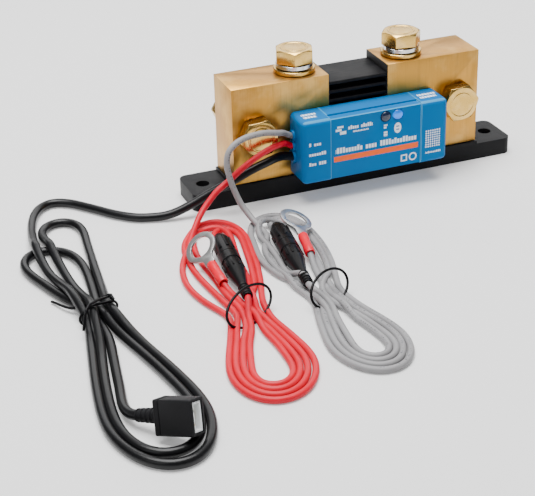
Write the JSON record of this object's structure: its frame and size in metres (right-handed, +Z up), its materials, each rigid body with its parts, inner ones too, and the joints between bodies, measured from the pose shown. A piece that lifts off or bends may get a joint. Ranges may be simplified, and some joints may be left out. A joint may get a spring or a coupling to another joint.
{
  "type": "battery monitor shunt",
  "caption": "High-current shunt: two brass blocks bridged by resistor plates on an insulating base, with a front sensing housing, a plugged data lead and fused ring-terminal leads.",
  "frame": {"origin": "middle of the base's underside", "axes": "+X along the base from the load block to the battery block, +Y to the rear, away from the sensing housing, +Z up"},
  "size_m": [0.2609, 0.2329, 0.07],
  "materials": {
    "base_plastic": "fine matt moulding",
    "brass": "sawn and brushed, lightly tarnished",
    "passivated_steel": "yellow passivated zinc",
    "steel": "bright zinc",
    "resistor_plate": "dark oxidised alloy",
    "blue_plastic": "satin moulding",
    "circuit_board": "solder resist",
    "dark_lens": "clear tinted",
    "lit_lens": "glowing",
    "red_cable": "satin insulation",
    "grey_cable": "satin insulation",
    "black_cable": "satin sheath",
    "holder_plastic": "semi-gloss moulding",
    "fuse_glass": "clear tube with metal caps",
    "tinned_copper": "bright tin plate",
    "terminal_sleeve": "glossy vinyl",
    "tie_wire": "plastic-coated wire",
    "plug_plastic": "fine matt moulding",
    "white_plastic": "plain moulding"
  },
  "bodies": {
    "root": {"base": "base_plastic", "load_base_screw_1": "steel", "load_base_screw_2": "steel", "battery_base_screw_1": "steel", "battery_base_screw_2": "steel", "load_block": "brass", "load_side_bolt": "passivated_steel", "battery_block": "brass", "battery_side_bolt": "passivated_steel", "resistor_plate_1": "resistor_plate", "resistor_plate_2": "resistor_plate", "resistor_plate_3": "resistor_plate", "resistor_plate_4": "resistor_plate", "resistor_plate_5": "resistor_plate", "resistor_plate_6": "resistor_plate", "resistor_plate_7": "resistor_plate", "housing_shell": "blue_plastic", "housing_back_cover": "blue_plastic", "circuit_board": "circuit_board", "load_sense_screw": "steel", "battery_sense_screw": "steel", "status_lens": "dark_lens", "radio_lens": "lit_lens", "lead_grommet": "blue_plastic", "red_fuse_body": "holder_plastic", "red_fuse": "fuse_glass", "red_fuse_spring": "steel", "red_terminal": "tinned_copper", "red_terminal_sleeve": "terminal_sleeve", "red_tie": "tie_wire", "red_lead": "red_cable", "red_hank": "red_cable", "grey_fuse_body": "holder_plastic", "grey_fuse": "fuse_glass", "grey_fuse_spring": "steel", "grey_terminal": "tinned_copper", "grey_terminal_sleeve": "terminal_sleeve", "grey_tie": "tie_wire", "grey_lead": "grey_cable", "grey_hank": "grey_cable", "data_plug_body": "plug_plastic", "data_plug_boot": "plug_plastic", "data_plug_socket": "white_plastic", "data_tie": "tie_wire", "data_lead": "black_cable", "data_hank": "black_cable"},
    "load_top_washers": {"load_top_flat_washer": "passivated_steel", "load_top_spring_washer": "steel"},
    "load_top_bolt": {"load_top_bolt": "passivated_steel"},
    "battery_top_washers": {"battery_top_flat_washer": "passivated_steel", "battery_top_spring_washer": "steel"},
    "battery_top_bolt": {"battery_top_bolt": "passivated_steel"},
    "load_side_washers": {"load_side_flat_washer": "passivated_steel", "load_side_spring_washer": "steel"},
    "load_side_nut": {"load_side_nut": "passivated_steel"},
    "battery_side_washers": {"battery_side_flat_washer": "passivated_steel", "battery_side_spring_washer": "steel"},
    "battery_side_nut": {"battery_side_nut": "passivated_steel"},
    "red_fuse_cap": {"red_fuse_cap": "holder_plastic"},
    "grey_fuse_cap": {"grey_fuse_cap": "holder_plastic"}
  },
  "joints": [
    {"name": "load_top_washers_lift", "type": "slide", "parent": "root", "child": "load_top_washers", "axis": [0, 0, 1], "range_m": [0, 0.012]},
    {"name": "load_top_bolt_turn", "type": "hinge", "parent": "load_top_washers", "child": "load_top_bolt", "pos_m": [-0.028, 0, 0.0636], "axis": [0, 0, 1], "range_deg": [0, 2881]},
    {"name": "load_side_washers_back", "type": "slide", "parent": "root", "child": "load_side_washers", "axis": [0, 1, 0], "range_m": [0, 0.006]},
    {"name": "load_side_nut_turn", "type": "hinge", "parent": "load_side_washers", "child": "load_side_nut", "pos_m": [-0.0527, 0.0174, 0.0342], "axis": [0, 1, 0], "range_deg": [0, 1441]},
    {"name": "battery_top_washers_lift", "type": "slide", "parent": "root", "child": "battery_top_washers", "axis": [0, 0, 1], "range_m": [0, 0.012]},
    {"name": "battery_top_bolt_turn", "type": "hinge", "parent": "battery_top_washers", "child": "battery_top_bolt", "pos_m": [0.028, 0, 0.0636], "axis": [0, 0, 1], "range_deg": [0, 2881]},
    {"name": "battery_side_washers_back", "type": "slide", "parent": "root", "child": "battery_side_washers", "axis": [0, 1, 0], "range_m": [0, 0.006]},
    {"name": "battery_side_nut_turn", "type": "hinge", "parent": "battery_side_washers", "child": "battery_side_nut", "pos_m": [0.0527, 0.0174, 0.0342], "axis": [0, 1, 0], "range_deg": [0, 1441]},
    {"name": "red_fuse_cap_twist", "type": "hinge", "parent": "root", "child": "red_fuse_cap", "pos_m": [-0.08929, -0.07099, 0.0052], "axis": [0.127, 0.9919, 0], "range_deg": [0, 45]},
    {"name": "grey_fuse_cap_twist", "type": "hinge", "parent": "root", "child": "grey_fuse_cap", "pos_m": [-0.06166, -0.07104, 0.0052], "axis": [0.1362, 0.9907, 0], "range_deg": [0, 45]}
  ],
  "couplings": [
    {"joint": "load_top_bolt_turn", "follows": "load_top_washers_lift", "rad_per_m": 4188.8},
    {"joint": "load_side_nut_turn", "follows": "load_side_washers_back", "rad_per_m": 4188.8},
    {"joint": "battery_top_bolt_turn", "follows": "battery_top_washers_lift", "rad_per_m": 4188.8},
    {"joint": "battery_side_nut_turn", "follows": "battery_side_washers_back", "rad_per_m": 4188.8}
  ]
}
